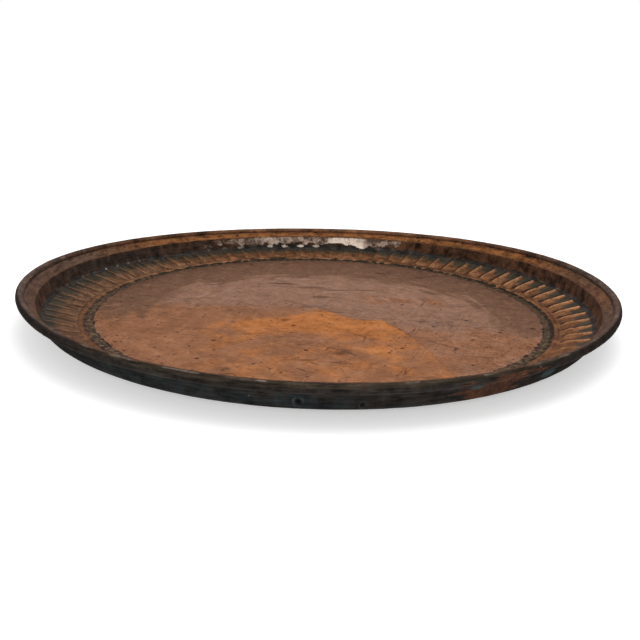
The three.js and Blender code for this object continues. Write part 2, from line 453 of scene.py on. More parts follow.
def floor_finishes(arc, x, y, broad, middle, fine):
    """The rubbed patch, the tan copper beside it and the mauve oxide of the rest, with a painted reflection of
    the dark wall that darkens the far edge and streaks of painted sheen.
    """
    on_floor = between(arc, -1, GROOVE_START, 2 * MM)
    over_edge = y - patch_top(x) + (9 * middle + 4 * fine) * MM
    soft = np.where(x < -50 * MM, 24 * MM, 4 * MM + 18 * MM * smooth(y, -90 * MM, -200 * MM))
    inside = smooth(over_edge, soft, -soft)
    rubbed = 0.32 + blots(x, y, (0.85, (20, -58), (90, 46)), (0.15, (80, -150), (50, 55)))
    rubbed += blots(x, y, (0.2, (-80, -85), (45, 40)), (-0.4, (-24, -120), (40, 24)))
    bright = inside * smooth(x, -190 * MM, -110 * MM) * (rubbed + 0.4 * middle)
    to_left = smooth(y + 22 * MM * broad, 45 * MM, -40 * MM) * smooth(x, 60 * MM, -40 * MM)
    to_right = smooth(y + 30 * MM * broad, -10 * MM, -120 * MM) * smooth(x, 40 * MM, 110 * MM)
    warm = np.maximum(0.95 * to_left, 0.65 * to_right) + 0.25 * middle
    warm = np.maximum(warm, 1.1 * smooth(over_edge, 12 * MM, -8 * MM))
    warm += blots(x, y, (0.55, (110, 48), (75, 42))) * (1 + 0.6 * middle)
    turn = (np.arctan2(y, x) + math.pi / 2) % TURN
    drawn = noise(np.stack([np.hypot(x, y), 45 * MM * turn, 0 * x], 1), 13 * MM, 26)
    # The far edge and the sides of the floor are darkened by a painted reflection of the dark wall.
    spread = np.hypot(x / (208 * MM), np.maximum(y, 0) / (162 * MM)) + 0.1 * broad + 0.13 * drawn
    far_half = smooth(y, -150 * MM, 30 * MM)
    painted_wall_reflection = far_half * (smooth(spread, 0.9, 1.14) * (0.85 + 0.15 * smooth(spread, 1.1, 1.6)) + 0.25 * drawn)
    painted_wall_reflection += blots(x, y, (0.9, (-212, 60), (36, 70)), (0.5, (235, -45), (36, 80)))
    painted_wall_reflection += blots(x, y, (0.45, (158, 84), (42, 30)), (0.35, (62, 140), (40, 22)))
    # Pale streaks of painted sheen: a reflection painted into the colour of the floor.
    painted_sheen = smooth(drawn + 0.4 * broad, 0.0, 0.5) * smooth(y, -30 * MM, 60 * MM)
    painted_sheen *= smooth(spread, 0.35, 0.6) * smooth(spread, 1.15, 0.95)
    bruise = blots(x, y, (1, (-8, 6), (42, 12)), (0.7, (150, -48), (48, 32)), (0.6, (45, -12), (30, 9)))
    bruise *= 0.7 + 0.9 * fine
    stain = blots(x, y, (1, (-52, 117), (30, 5)), (1, (-10, 99), (24, 6)), (1, (16, 88), (22, 3)))
    stain += blots(x, y, (1, (60, 92), (26, 3)), (1, (2, 52), (16, 7)))
    grit = 0.25 + 0.5 * middle + 0.6 * smooth(np.hypot(x, y), 238 * MM, 268 * MM)
    grit += blots(x, y, (0.5, (185, -110), (60, 60)), (0.8, (-250, -40), (24, 110)))
    patch_edge = 0.5 + (over_edge / PATCH_EDGE_SCALE).clip(-0.5, 0.5)
    crack = smooth(x, 30 * MM, 60 * MM) * smooth(y, -215 * MM, -160 * MM)
    layers = dict(bright=bright, warm=warm, painted_sheen=painted_sheen, bruise=bruise, stain=stain, painted_wall_reflection=painted_wall_reflection, grit=grit)
    layers |= dict(patch_edge=patch_edge, crack=crack)
    return {name: on_floor * values for name, values in layers.items()}


def band_finishes(arc, angle, middle, fine):
    """Where copper shows on the band and the ridge ring, where dirt hides it, and the groove's dark edges of
    dirt and painted shade.
    """
    on_band = between(arc, BAND_START, WALL_FOOT + 1 * MM, 2 * MM)
    right, left = lobe(angle, 4, 46), lobe(angle, 175, 55)
    inner_line = between(arc, GROOVE_START - 0.5 * MM, GROOVE_START + 2 * MM, 1 * MM)
    groove_dirt_and_shade = inner_line * (0.5 + 1.1 * fine + 0.4 * middle + 0.3 * lobe(angle, 90, 60))
    far_line = between(arc, GROOVE_END - 2.5 * MM, GROOVE_END + 2.5 * MM, 1 * MM)
    groove_dirt_and_shade += far_line * (0.4 + 0.4 * lobe(angle, 90, 75) + 0.4 * lobe(angle, 0, 40) + 1.4 * fine)
    ring = between(arc, GROOVE_END, BAND_START + 3 * MM, 1 * MM)
    ring_top = between(arc, GROOVE_END + 3 * MM, BAND_START + 3 * MM, 0.8 * MM)
    groove_dirt_and_shade += ring * smooth(fine + middle, 0.1, 0.6) * lobe(angle, 75, 55)
    climbing = WALL_FOOT + (4 + 5 * lobe(angle, 90, 30)) * MM + 2 * MM * fine
    corner = between(arc, WALL_FOOT - 3 * MM, climbing, 2.5 * MM)
    soot = corner * (0.8 + 0.3 * fine)
    worn_copper = np.maximum(ring, on_band)
    return dict(
        band=on_band,
        show=0.15 + 0.85 * right + 0.4 * left - 0.12 * lobe(angle, 84, 28),
        veil=(on_band + 0.6 * ring) * left * (0.8 + 0.3 * fine + 0.3 * middle),
        brown=0.75 * ring_top * lobe(angle, 55, 24),
        bronze=0.9 * ring_top * lobe(angle, 58, 24),
        soil=between(arc, GROOVE_START + 1 * MM, GROOVE_END + 1 * MM, 1.2 * MM),
        lines=groove_dirt_and_shade,
        umber=worn_copper,
        dark=soot,
        cold=0.5 * soot,
        grit=worn_copper * (0.75 + 0.4 * middle),
    )


def rim_finishes(flat, arc, angle, spot, middle, fine):
    """Brown wall with tin on its far side, partly a painted reflection, with painted highlights; copper-brown
    flange; grey-brown bead with a painted highlight; dark outside and below; painted shade in the crease, the
    slit, the dents, the bead's lower side and the ends.
    """
    on_wall = between(arc, WALL_FOOT + 2 * MM, WALL_TOP, 1.5 * MM)
    on_flange = between(arc, WALL_TOP, CREASE, 1 * MM)
    on_bead = between(arc, CREASE, BEAD_FOOT, 1 * MM)
    far, near = lobe(angle, 90, 62), lobe(angle, -90, 62)
    ends = np.maximum(lobe(angle, 180, 34), lobe(angle, 0, 30))
    near_ends = np.maximum(lobe(angle, -148, 26), lobe(angle, -32, 26))
    at_ends = np.maximum(ends, near_ends)
    dark_from, dark_to = 4 + 2.5 * at_ends, 2 * at_ends + 2.5 * near_ends
    outside = smooth(arc, BEAD_SIDE - dark_from * MM, BEAD_SIDE - dark_to * MM)
    raised = smooth(flat[:, 1], wall_foot[1], wall_top[1])
    crest_line = between(arc, BEAD_TOP - 5 * MM, BEAD_TOP + 0.8 * MM, 0.8 * MM) * near
    brown = on_wall * (1.05 - 0.3 * raised * lobe(angle, 15, 50) + 0.3 * middle)
    brown += on_bead * (0.4 + 0.3 * middle) * (1 - near) + 0.75 * crest_line
    brown += between(arc, BEAD_TOP - 1.5 * MM, BEAD_TOP + 4 * MM, 1 * MM) * far
    brown += 0.25 * on_bead * np.maximum(lobe(angle, 140, 25), lobe(angle, 40, 20))
    brown += 0.6 * between(arc, WALL_TOP - 1 * MM, WALL_TOP + 3 * MM, 1.2 * MM) * lobe(angle, 90, 50)
    umber = np.maximum(on_wall, 0.8 * on_bead)
    bronze = on_flange * (0.95 + 0.2 * middle)
    lead = on_bead * (1.1 * at_ends + 0.2 * middle)
    grey = on_flange * np.maximum(0.9 * lobe(angle, 180, 42), 0.6 * lobe(angle, 4, 26))
    grey = np.maximum(grey, on_flange * near_ends)
    grey += on_wall * raised * lobe(angle, 0, 22) * 0.6
    olive = between(arc, BEAD_TOP + 0.5 * MM, BEAD_FOOT, 1.2 * MM) * np.maximum(near, near_ends)
    # Tin remains on the far wall; their light tone is partly a painted reflection.
    tin_and_reflection = on_wall * lobe(angle, 92, 30) * smooth(spot[:, 0] + 12 * MM * fine, 134 * MM, 122 * MM)
    tin_and_reflection *= 0.15 + 1.15 * smooth(raised + 0.3 * middle + 0.4 * fine, 0.2, 0.5)
    above_foot = smooth(arc, UNDER_KNEE + 14 * MM, UNDER_KNEE)
    cold = 0.2 + 0.5 * middle + above_foot * (0.9 * lobe(angle, -138, 36) + 0.3 * (1 - raised) * near)
    cold *= outside * smooth(arc, BEAD_SIDE, BEAD_FOOT)
    red = above_foot * lobe(angle, -62, 8) * (0.95 + 0.6 * middle)
    red += (1 - above_foot) * smooth(noise(spot, 60 * MM, 28) + 0.3 * middle, 0.1, 0.8)
    teal = blot(angle - TURN, flat[:, 1], (math.radians(-64.9), 24 * MM), (0.03, 3 * MM))
    teal += blot(angle - TURN, flat[:, 1], (math.radians(-49.1), 18 * MM), (0.04, 4 * MM))
    # A painted highlight along the near bead's upper face, broken into patches.
    painted_glint = between(arc, BEAD_TOP + 0.6 * MM, BEAD_TOP + 2 * MM, 0.8 * MM)
    patches = noise(spot, 30 * MM, 27) + 0.5 * fine + 0.6 * lobe(angle, -113, 14)
    patches += 0.5 * lobe(angle, -69, 5) - 0.4 * lobe(angle, -88, 10)
    painted_shine = painted_glint * near * smooth(patches, -0.1, 0.7)
    # Painted highlights on the far wall's tin, at a few places round it.
    painted_wall_highlight = lobe(angle, 85, 3.5) + 0.8 * lobe(angle, 79.5, 2.5) + 0.45 * lobe(angle, 104, 6)
    # Painted shade along the crease between flange and bead.
    painted_crease_shade = between(arc, CREASE - 0.8 * MM, CREASE + 0.8 * MM, 0.6 * MM)
    painted_crease_shade *= 1 - 0.9 * np.maximum(far, lobe(angle, 40, 24))
    crease_spots = between(arc, CREASE - 3 * MM, CREASE + 1 * MM, 1.2 * MM) * lobe(angle, 40, 30)
    crease_spots *= smooth(fine + 0.6 * middle, 0.1, 0.3)
    # Painted shade, near black, in the slit under the bead and in the roll's hollow.
    painted_hollow_shade = between(arc, BEAD_FOOT - 1 * MM, UNDER_WALL_TOP, 1 * MM)
    dark_wall = 0.6 * on_wall * lobe(angle, 152, 55)
    hollow = 0
    for turn_deg, height, size, _ in WALL_DENTS:
        away = off_dent(flat, angle, turn_deg, height)
        teal += (0.6 + 0.3 * fine) * smooth(np.abs(away - 1.2 * size), 0.7 * size, 0)
        hollow = np.maximum(hollow, smooth(away, 0.8 * size, 0.3 * size))
    layers = dict(brown=brown, umber=umber, bronze=bronze, grey=grey, lead=lead, olive=olive, tin_and_reflection=tin_and_reflection)
    return layers | dict(
        painted_wall_highlight=painted_wall_highlight * on_wall,
        cold=cold,
        red=outside * red,
        teal=outside * teal,
        painted_shine=painted_shine,
        # Painted shade on the outside at the tray's ends and on the near bead's lower side.
        painted_deep_shade=outside * above_foot * np.maximum(at_ends, 0.4 * on_bead * lobe(angle, -100, 12)),
        dark=outside * (0.95 + 0.1 * middle) + 0.7 * painted_crease_shade + crease_spots + dark_wall,
        # Painted shade in the slit and in the middles of the wall's dents.
        painted_hollow_shade=np.maximum(painted_hollow_shade, outside * hollow),
        grit=0.6 * on_wall + on_flange * (0.95 + 0.5 * middle + 0.3 * ends) + 0.7 * on_bead,
    )


def finishes(flat, arc, angle, spot):
    """The layers of wear, dirt and painted light and shade by name, each from 0 to 1 at every point."""
    broad, middle, fine = (noise(spot, size * MM, seed) for size, seed in ((80, 21), (28, 22), (9, 23)))
    layers = {}
    for part in (
        floor_finishes(arc, spot[:, 0], spot[:, 1], broad, middle, fine),
        band_finishes(arc, angle, middle, fine),
        rim_finishes(flat, arc, angle, spot, middle, fine),
    ):
        for name, values in part.items():
            layers[name] = np.maximum(layers.get(name, 0), values)
    return layers | rib_fields(flat, arc, angle)


def rib_fields(flat, arc, angle):
    """Where each point lies across the ribs, as a sine and cosine from 0 to 1, how far up them, and the painted
    glints on their tips.
    """
    phase = rib_phase(angle)
    chance = np.random.default_rng(12).uniform(0, 1, RIB_COUNT)[rib_number(phase)]
    return dict(
        rib_sine=0.5 + 0.5 * np.sin(TURN * phase),
        rib_cosine=0.5 + 0.5 * np.cos(TURN * phase),
        run=(arc <= WALL_TOP) * band_run(flat) / RIB_SCALE,
        # Painted glints on the rib tips: small ones on the far left, wide ones on the far side.
        painted_toe_glint=(0.1 + 0.32 * chance) * lobe(angle, 155, 9),
        painted_glint=smooth(chance, 0.35, 0.95) * lobe(angle, 87, 22),
    )


# Meshes


def lay_out(table):
    """Points, faces and finishes of the whole sheet in one go, so that its pieces meet exactly."""
    arcs = np.array([arc for _, arc, _ in table])
    counts = np.array([columns for _, _, columns in table])
    starts = np.cumsum(counts) - counts
    ring_of = np.repeat(np.arange(len(table)), counts)
    column = np.arange(counts.sum()) - starts[ring_of]
    angle = TURN * column / counts[ring_of]
    arc = arcs[ring_of]
    flat = resampled(arc, section_arc, section)
    tangent = unit(resampled(arc, section_arc, unit(np.gradient(section, axis=0))))
    underneath = arc > LIP_ARC
    up = np.stack([-tangent[:, 1], tangent[:, 0]], 1) * np.where(underneath, -1, 1)[:, None]
    spot = np.stack([flat[:, 0] * np.cos(angle), flat[:, 0] * np.sin(angle), flat[:, 1]], 1)
    push = relief(flat, arc, angle, spot, underneath)
    radius = flat[:, 0] + up[:, 0] * push
    height = flat[:, 1] + up[:, 1] * push + rim_spring(flat[:, 0], angle)
    points = np.stack([radius * np.cos(angle), radius * np.sin(angle), height], 1)
    layers = finishes(flat, arc, angle, spot)

    faces = {}
    for k in range(len(table) - 1):
        zone = table[k + 1][0]
        for corners in strip(counts[k], counts[k + 1]):
            ring = np.array([k + which for which, _ in corners])
            columns = np.stack([c for _, c in corners], 1)
            index = starts[ring] + columns % counts[ring]
            turns = columns / counts[ring]
            faces.setdefault(zone, []).append((index, turns, np.broadcast_to(arcs[ring], index.shape)))
    return points, layers, faces


def vertex_normals(points, faces):
    normals = np.zeros_like(points)
    for zone in faces.values():
        for index, _, _ in zone:
            first, second, third, last = (points[index[:, k]] for k in (0, 1, 2, -1))
            across = np.cross(third - first, last - second)
            for corner in index.T:
                for axis in range(3):
                    normals[:, axis] += np.bincount(corner, across[:, axis], len(points))
    return unit(normals)


def disc_map(index, arcs, points):
    """Places on the map for the floor: its upper side large, its underside in the free corner."""
    upper = arcs.reshape(-1, 1) < CREASE
    middle, width = np.where(upper, UPPER_DISC, UNDER_DISC).T[:, :, None]
    return middle + width * points[index.ravel(), :2] / (2 * FLOOR_RADIUS)


def strip_map(index, turns, arcs, spans):
    """Places on the map for a zone that goes round the tray: four quarters, each with its spans stacked."""
    arcs, quarter = arcs.ravel(), np.repeat(np.floor(turns.mean(axis=1) * QUARTERS), index.shape[1])
    along = turns.ravel() * QUARTERS - quarter
    total = sum(end - start for start, end in spans)
    before = 0
    across = np.zeros(len(arcs))
    middle = np.repeat(arcs.reshape(index.shape).mean(axis=1), index.shape[1])
    for number, (start, end) in enumerate(spans):
        here = (middle >= start) & (middle <= end)
        share = (arcs - start + before) / total
        across = np.where(here, share * QUARTER_FILL + SPAN_GAP * number, across)
        before += end - start
    return np.stack([MAP_MARGIN + (1 - 2 * MAP_MARGIN) * along, (quarter + across) / QUARTERS], 1)


def add_piece(name, zone, points, normals, layers, faces, place_on_map):
    mesh = bpy.data.meshes.new(name)
    corners = np.concatenate([index.ravel() for index, _, _ in faces[zone]])
    used, inverse = np.unique(corners, return_inverse=True)
    sizes = np.concatenate([np.full(len(index), index.shape[1]) for index, _, _ in faces[zone]])
    mesh.vertices.add(len(used))
    mesh.vertices.foreach_set("co", points[used].ravel())
    mesh.loops.add(len(inverse))
    mesh.loops.foreach_set("vertex_index", inverse.astype(np.int32))
    mesh.polygons.add(len(sizes))
    mesh.polygons.foreach_set("loop_start", (np.cumsum(sizes) - sizes).astype(np.int32))
    mesh.update(calc_edges=True)
    mesh.polygons.foreach_set("use_smooth", np.ones(len(sizes), bool))
    places = [place_on_map(index, turns, arcs) for index, turns, arcs in faces[zone]]
    mesh.uv_layers.new(name="OFBake").uv.foreach_set("vector", np.concatenate(places).ravel())
    for layer, values in layers.items():
        mesh.attributes.new(layer, "FLOAT", "POINT").data.foreach_set("value", values[used].clip(0, 1))
    mesh.validate()
    mesh.normals_split_custom_set_from_vertices(normals[used])
    piece = bpy.data.objects.new(name, mesh)
    bpy.context.scene.collection.objects.link(piece)
    return piece


# Shader helpers


def linear(*srgb):
    """A colour as it looks, in 0 to 255, as the shader wants it."""
    parts = [c / 255 for c in srgb]
    return tuple(c / 12.92 if c < 0.04045 else ((c + 0.055) / 1.055) ** 2.4 for c in parts) + (1,)


class Nodes:
    """Short calls for building the node tree of a material or a world."""

    def __init__(self, owner):
        owner.use_nodes = True
        self.owner = owner
        self.tree = owner.node_tree
        self.tree.nodes.clear()
        self.place = self.add("ShaderNodeTexCoord").outputs["Object"]

    def add(self, kind, **settings):
        node = self.tree.nodes.new(kind)
        for key, value in settings.items():
            setattr(node, key, value)
        return node

    def put(self, socket, value):
        if isinstance(value, bpy.types.NodeSocket):
            self.tree.links.new(value, socket)
        else:
            socket.default_value = value

    def feed(self, node, **sockets):
        """Links or sets inputs by name, with _ for each blank, and gives the node back."""
        for name, value in sockets.items():
            self.put(node.inputs[name.replace("_", " ")], value)
        return node

    def result(self, node, *values):
        """The first output of a node whose inputs are given in their order."""
        for socket, value in zip(node.inputs, values):
            self.put(socket, value)
        return node.outputs[0]

    def math(self, operation, *values):
        return self.result(self.add("ShaderNodeMath", operation=operation), *values)

    def vector(self, operation, *values):
        return self.result(self.add("ShaderNodeVectorMath", operation=operation), *values)

    def times(self, *values):
        return functools.reduce(lambda one, other: self.math("MULTIPLY", one, other), values)

    def largest(self, *values):
        return functools.reduce(lambda one, other: self.math("MAXIMUM", one, other), values)

    def plus(self, one, other):
        return self.math("ADD", one, other)

    def minus(self, one, other):
        return self.math("SUBTRACT", one, other)

    def ramp(self, value, start, end, low=0.0, high=1.0):
        node = self.add("ShaderNodeMapRange", interpolation_type="SMOOTHSTEP")
        return self.result(node, value, start, end, low, high)

    def noise(self, size, detail=3.0, rough=0.55, vector=None):
        node = self.add("ShaderNodeTexNoise")
        self.feed(node, Vector=vector or self.place, Scale=1 / size, Detail=detail, Roughness=rough)
        return node.outputs["Fac"]

    def cells(self, size):
        node = self.feed(self.add("ShaderNodeTexVoronoi"), Vector=self.place, Scale=1 / size)
        return node.outputs["Distance"], node.outputs["Color"]

    def turned(self, angle_deg, scale):
        node = self.add("ShaderNodeMapping", vector_type="TEXTURE")
        turn = (0, 0, math.radians(angle_deg))
        return self.feed(node, Vector=self.place, Rotation=turn, Scale=scale).outputs[0]

    def layer(self, name):
        return self.add("ShaderNodeAttribute", attribute_name=name).outputs["Fac"]

    def mix(self, share, below, above):
        """Mixes two colours, each a socket or three numbers from 0 to 255, as it looks."""
        node = self.add("ShaderNodeMix", data_type="RGBA")
        self.put(node.inputs[0], share)
        for socket, colour in zip(node.inputs[6:8], (below, above)):
            self.put(socket, linear(*colour) if isinstance(colour, tuple) else colour)
        return node.outputs[2]

    def mix_value(self, share, below, above):
        node = self.add("ShaderNodeMix", data_type="FLOAT")
        self.put(node.inputs[0], share)
        self.put(node.inputs[2], below)
        self.put(node.inputs[3], above)
        return node.outputs[0]

    def finish(self, shader):
        kind = "World" if isinstance(self.owner, bpy.types.World) else "Material"
        self.feed(self.add("ShaderNodeOutput" + kind), Surface=shader)
        return self.owner


def strokes(n, angle_deg, length, width, shift):
    """Straight hairlines in one direction, broken up."""
    lines = n.vector("ADD", n.turned(angle_deg, (length, width, 1)), (shift, 2 * shift, 0))
    line = n.ramp(n.math("ABSOLUTE", n.minus(n.noise(1, 0, 0.5, lines), 0.5)), HAIRLINE, 0)
    return n.times(line, n.ramp(n.noise((30 + shift) * MM, 2), 0.47, 0.6))


def specks(n, size, radius_share, chosen):
    """Round dark spots in a share of the cells."""
    distance, cell = n.cells(size)
    spot = n.ramp(distance, radius_share, 0.5 * radius_share)
    return n.times(spot, n.ramp(cell, chosen, chosen + 0.02))


class Copper(Nodes):
    """Copper rubbed bright in places, under oxide, patina, old tin and dirt, with painted highlights,
    reflections and shade, where the sheet's layers say.
    """

    def __init__(self):
        super().__init__(bpy.data.materials.new("aged_copper"))
        self.fine = self.noise(2.4 * MM, 4, 0.6)
        self.patchy = self.noise(11 * MM, 5, 0.6)
        self.wide = self.noise(60 * MM, 4)
        # Marks on the rim are drawn out along it, and marks on the band away from the middle
        self.drawn = self.noise(2.6 * MM, 5, 0.6, self.turned(0, (9, 9, 1)))
        self.rays = self.noise(2.6 * MM, 3, 0.6, self.radial())
        self.shake = self.times(self.plus(self.fine, self.patchy), 0.5)
        self.streaky = self.times(self.plus(self.drawn, self.patchy), 0.5)

    def radial(self):
        """Coordinates that are drawn out away from the tray's middle."""
        level = self.vector("MULTIPLY", self.place, (1, 1, 0))
        drawn_out = self.vector("MULTIPLY", level, (0.12, 0.12, 0))
        direction = self.vector("NORMALIZE", level)
        return self.vector("MULTIPLY_ADD", direction, (FLOOR_RADIUS, FLOOR_RADIUS, 0), drawn_out)

    def shaken(self, value, reach, noise=None):
        """A value whose edges are broken up by noise."""
        return self.plus(value, self.times(self.minus(noise or self.shake, 0.5), reach))

    def worn(self, name, reach=1.1, noise=None):
        """A layer with such edges."""
        return self.ramp(self.shaken(self.layer(name), reach, noise), 0.2, 0.8)

    def cover(self, colour, share, dark, light, noise=None):
        """Lays a colour that varies from dark to light over another one."""
        return self.mix(share, colour, self.mix(self.ramp(noise or self.patchy, 0.32, 0.68), dark, light))

    def floor_colour(self):
        """Mauve oxide, tan copper, the bright patch, streaks of painted sheen, and the far edge darkened by a
        painted reflection of the dark wall.
        """
        colour = self.mix(self.wide, (162, 128, 113), (144, 112, 97))
        colour = self.mix(self.ramp(self.patchy, 0.4, 0.75, 0, 0.5), colour, (156, 116, 90))
        colour = self.cover(colour, self.worn("warm"), (146, 101, 75), (164, 116, 88), self.wide)
        self.bright = self.worn("bright")
        colour = self.cover(colour, self.bright, (186, 122, 80), (206, 137, 88), self.wide)
        # Painted sheen in pale streaks.
        colour = self.mix(self.times(self.worn("painted_sheen"), 0.45), colour, (176, 144, 130))
        # Painted reflection of the dark wall, darkening the far edge.
        colour = self.mix(self.times(self.worn("painted_wall_reflection", 0.6), 0.9), colour, (118, 90, 75))
        colour = self.mix(self.times(self.worn("bruise"), 0.55), colour, (104, 86, 80))
        colour = self.mix(self.times(self.worn("stain", 0.5), 0.7), colour, (92, 68, 56))
        grain = self.noise(5 * MM, 4, 0.75)
        colour = self.mix(self.ramp(grain, 0.5, 0.72, 0, 0.5), colour, (88, 62, 50))
        colour = self.mix(self.ramp(grain, 0.46, 0.28, 0, 0.3), colour, (206, 160, 128))
        off_edge = self.minus(self.shaken(self.layer("patch_edge"), 0.16, self.patchy), 0.5)
        crack = self.ramp(self.math("ABSOLUTE", off_edge), 0.028, 0.008)
        crack = self.times(crack, self.layer("crack"), self.ramp(self.fine, 0.3, 0.5), 0.85)
        colour = self.mix(crack, colour, (72, 44, 30))
        soft = self.noise(16 * MM, 5, 0.65)
        colour = self.mix(self.ramp(soft, 0.42, 0.68, 0, 0.28), colour, (92, 66, 54))
        return self.mix(self.ramp(soft, 0.47, 0.28, 0, 0.24), colour, (196, 150, 118))

    def band_colour(self, colour):
        """The groove's dirt and painted shade, the ring, and ribs with painted light and shade on each panel, a
        rubbed crest with a painted highlight, a painted shadow line and dirty valleys.
        """
        colour = self.cover(colour, self.worn("umber", 0.6), (96, 66, 46), (146, 102, 73))
        crumbs = self.noise(5 * MM, 5, 0.75)
        pits = self.largest(specks(self, 5 * MM, 0.4, 0.6), self.ramp(crumbs, 0.42, 0.55))
        soil = self.mix(pits, (122, 101, 82), (42, 42, 35))
        plain_soil = self.mix(pits, (100, 84, 68), (60, 60, 51))
        show = self.layer("show")
        soil = self.mix(self.times(show, show), soil, plain_soil)
        colour = self.mix(self.worn("soil", 1.0), colour, soil)
        # Dark lines along the groove's edges: dirt and painted shade.
        colour = self.mix(self.worn("lines", 1.2), colour, (34, 34, 28))

        sine = self.minus(self.layer("rib_sine"), 0.5)
        cosine = self.minus(self.layer("rib_cosine"), 0.5)
        past_crest = self.math("DIVIDE", self.math("ARCTAN2", sine, cosine), TURN)
        past_crest = self.shaken(past_crest, 0.07, self.patchy)
        on_band = self.layer("band")
        run = self.layer("run")
        rise = self.ramp(self.math("FRACT", past_crest), RIB_STEEP_SHARE, 1)
        inner = self.ramp(run, 0.05, 0.15)
        tip = self.ramp(self.shaken(run, 0.2, self.patchy), 0.86, 0.7)
        # Painted shade low on each rib's panel and painted light near its crest.
        painted_panel_shade = self.times(self.ramp(rise, 0.8, 0), inner, on_band, show, 0.5)
        colour = self.mix(painted_panel_shade, colour, (66, 44, 31))
        lit = self.times(self.ramp(rise, 0.8, 1), inner, on_band, show, 0.4)
        colour = self.mix(lit, colour, (186, 130, 90))
        finger = self.minus(self.ramp(rise, 0.62, 1.02), 0.2)
        reach = self.plus(self.times(finger, show, 0.4), 0.47)
        veil = self.worn("veil", 0.9)
        combed = self.mix_value(veil, self.rays, self.ramp(self.rays, 0.42, 0.6))
        frayed = self.plus(self.times(veil, 0.5), 0.25)
        ragged = self.shaken(self.shaken(run, 0.3, self.patchy), frayed, self.rays)
        self.dirt = self.times(self.ramp(self.minus(ragged, reach), -0.07, 0.09), on_band)
        colour = self.cover(colour, self.times(veil, 0.85), (74, 60, 49), (144, 112, 90), combed)
        colour = self.cover(colour, self.times(self.dirt, 0.93), (28, 31, 27), (72, 66, 52), combed)
        # A painted shadow line just past each crest.
        beyond_shadow_line = self.minus(past_crest, self.plus(self.times(show, 0.2), 0.12))
        painted_shadow_line = self.times(self.ramp(past_crest, 0.02, 0.07), self.ramp(beyond_shadow_line, 0.07, 0))
        painted_shadow_line = self.times(painted_shadow_line, self.ramp(run, 0.02, 0.08), tip, on_band, self.ramp(show, 0, 1, 0.1, 0.9))
        colour = self.mix(painted_shadow_line, colour, (38, 29, 21))
        # A rubbed crest under a painted highlight.
        crest_wear_and_highlight = self.ramp(self.math("ABSOLUTE", self.plus(past_crest, 0.01)), 0.065, 0.02)
        crest_wear_and_highlight = self.times(crest_wear_and_highlight, inner, tip, on_band, show, show, self.ramp(self.fine, 0.3, 0.6, 0.55, 1))
        colour = self.mix(crest_wear_and_highlight, colour, (196, 146, 106))
        # Painted glints on the rib tips.
        painted_toe_glint = self.times(self.near_spot(past_crest, run, 0.1, 0.8, 0.05), self.layer("painted_toe_glint"))
        painted_glint = self.times(self.near_spot(past_crest, run, 0.24, 0.87, 0.055), self.layer("painted_glint"))
        self.painted_glint = self.largest(painted_toe_glint, painted_glint)
        return colour

    def near_spot(self, past_crest, run, half_width, middle, half_height):
        """A ragged spot on each rib's tip, where a painted glint goes."""
        aside = self.math("POWER", self.math("DIVIDE", past_crest, half_width), 2)
        above = self.math("POWER", self.math("DIVIDE", self.minus(run, middle), half_height), 2)
        return self.ramp(self.shaken(self.plus(aside, above), 3.0), 1, 0.3)

    def rim_colour(self, colour):
        """Brown, grey and tinned parts of the wall, flange and bead, and the dark outside, with painted shade,
        painted highlights and glints, and the tin's partly painted reflection.
        """
        bronze = self.worn("bronze", 0.6)
        colour = self.cover(colour, bronze, (72, 43, 24), (150, 98, 58), self.streaky)
        colour = self.cover(colour, self.worn("grey"), (48, 39, 33), (113, 91, 78), self.streaky)
        colour = self.cover(colour, self.worn("lead"), (48, 41, 37), (112, 98, 90), self.drawn)
        blotchy = self.noise(13 * MM, 6, 0.65)
        self.brown = self.worn("brown")
        colour = self.cover(colour, self.brown, (24, 15, 9), (98, 66, 47), blotchy)
        olive = self.worn("olive", 0.5)
        colour = self.cover(colour, olive, (26, 25, 21), (62, 54, 45), self.drawn)
        blotchy = self.times(self.plus(blotchy, self.drawn), 0.5)
        dark = self.mix(self.ramp(blotchy, 0.38, 0.62), (20, 19, 18), (60, 55, 51))
        dark = self.cover(dark, self.worn("cold"), (9, 14, 17), (54, 59, 60), blotchy)
        # Painted shade over the dark outside.
        dark = self.mix(self.times(self.layer("painted_deep_shade"), 0.8), dark, (15, 13, 12))
        self.dark = self.worn("dark", 0.5)
        colour = self.mix(self.dark, colour, dark)
        streaks = self.times(self.ramp(self.shaken(self.layer("red"), 2.4, self.drawn), 0.5, 0.9), 0.85)
        colour = self.cover(colour, streaks, (60, 40, 31), (112, 70, 48), self.shake)
        flecks = self.times(specks(self, 12 * MM, 0.12, 0.6), self.dark, 0.6)
        colour = self.mix(flecks, colour, (96, 104, 104))
        colour = self.mix(self.times(self.worn("teal"), 0.65), colour, (70, 92, 92))
        # Painted shade, near black, in the slit, the roll's hollow and the dents' middles.
        colour = self.mix(self.layer("painted_hollow_shade"), colour, (10, 10, 10))
        # The tin's tone, light where a reflection is partly painted into it.
        clouded = self.noise(12 * MM, 5, 0.7)
        tin_and_reflection_tone = self.mix(self.ramp(clouded, 0.4, 0.6), (76, 60, 49), (164, 142, 127))
        # Painted highlights on the far wall.
        painted_wall_highlight = self.times(self.worn("painted_wall_highlight", 1.8), 0.8)
        tin_and_reflection_tone = self.mix(painted_wall_highlight, tin_and_reflection_tone, (222, 204, 188))
        self.tin_and_reflection = self.ramp(self.shaken(self.layer("tin_and_reflection"), 1.2, self.patchy), 0.4, 0.75)
        colour = self.mix(self.tin_and_reflection, colour, tin_and_reflection_tone)
        # Painted glints, near white.
        colour = self.mix(self.painted_glint, colour, (236, 220, 202))
        # The painted highlight on the near bead.
        self.painted_shine = self.times(self.worn("painted_shine", 1.8, self.drawn), 0.75)
        return self.mix(self.painted_shine, colour, self.mix(self.fine, (88, 80, 72), (132, 120, 110)))

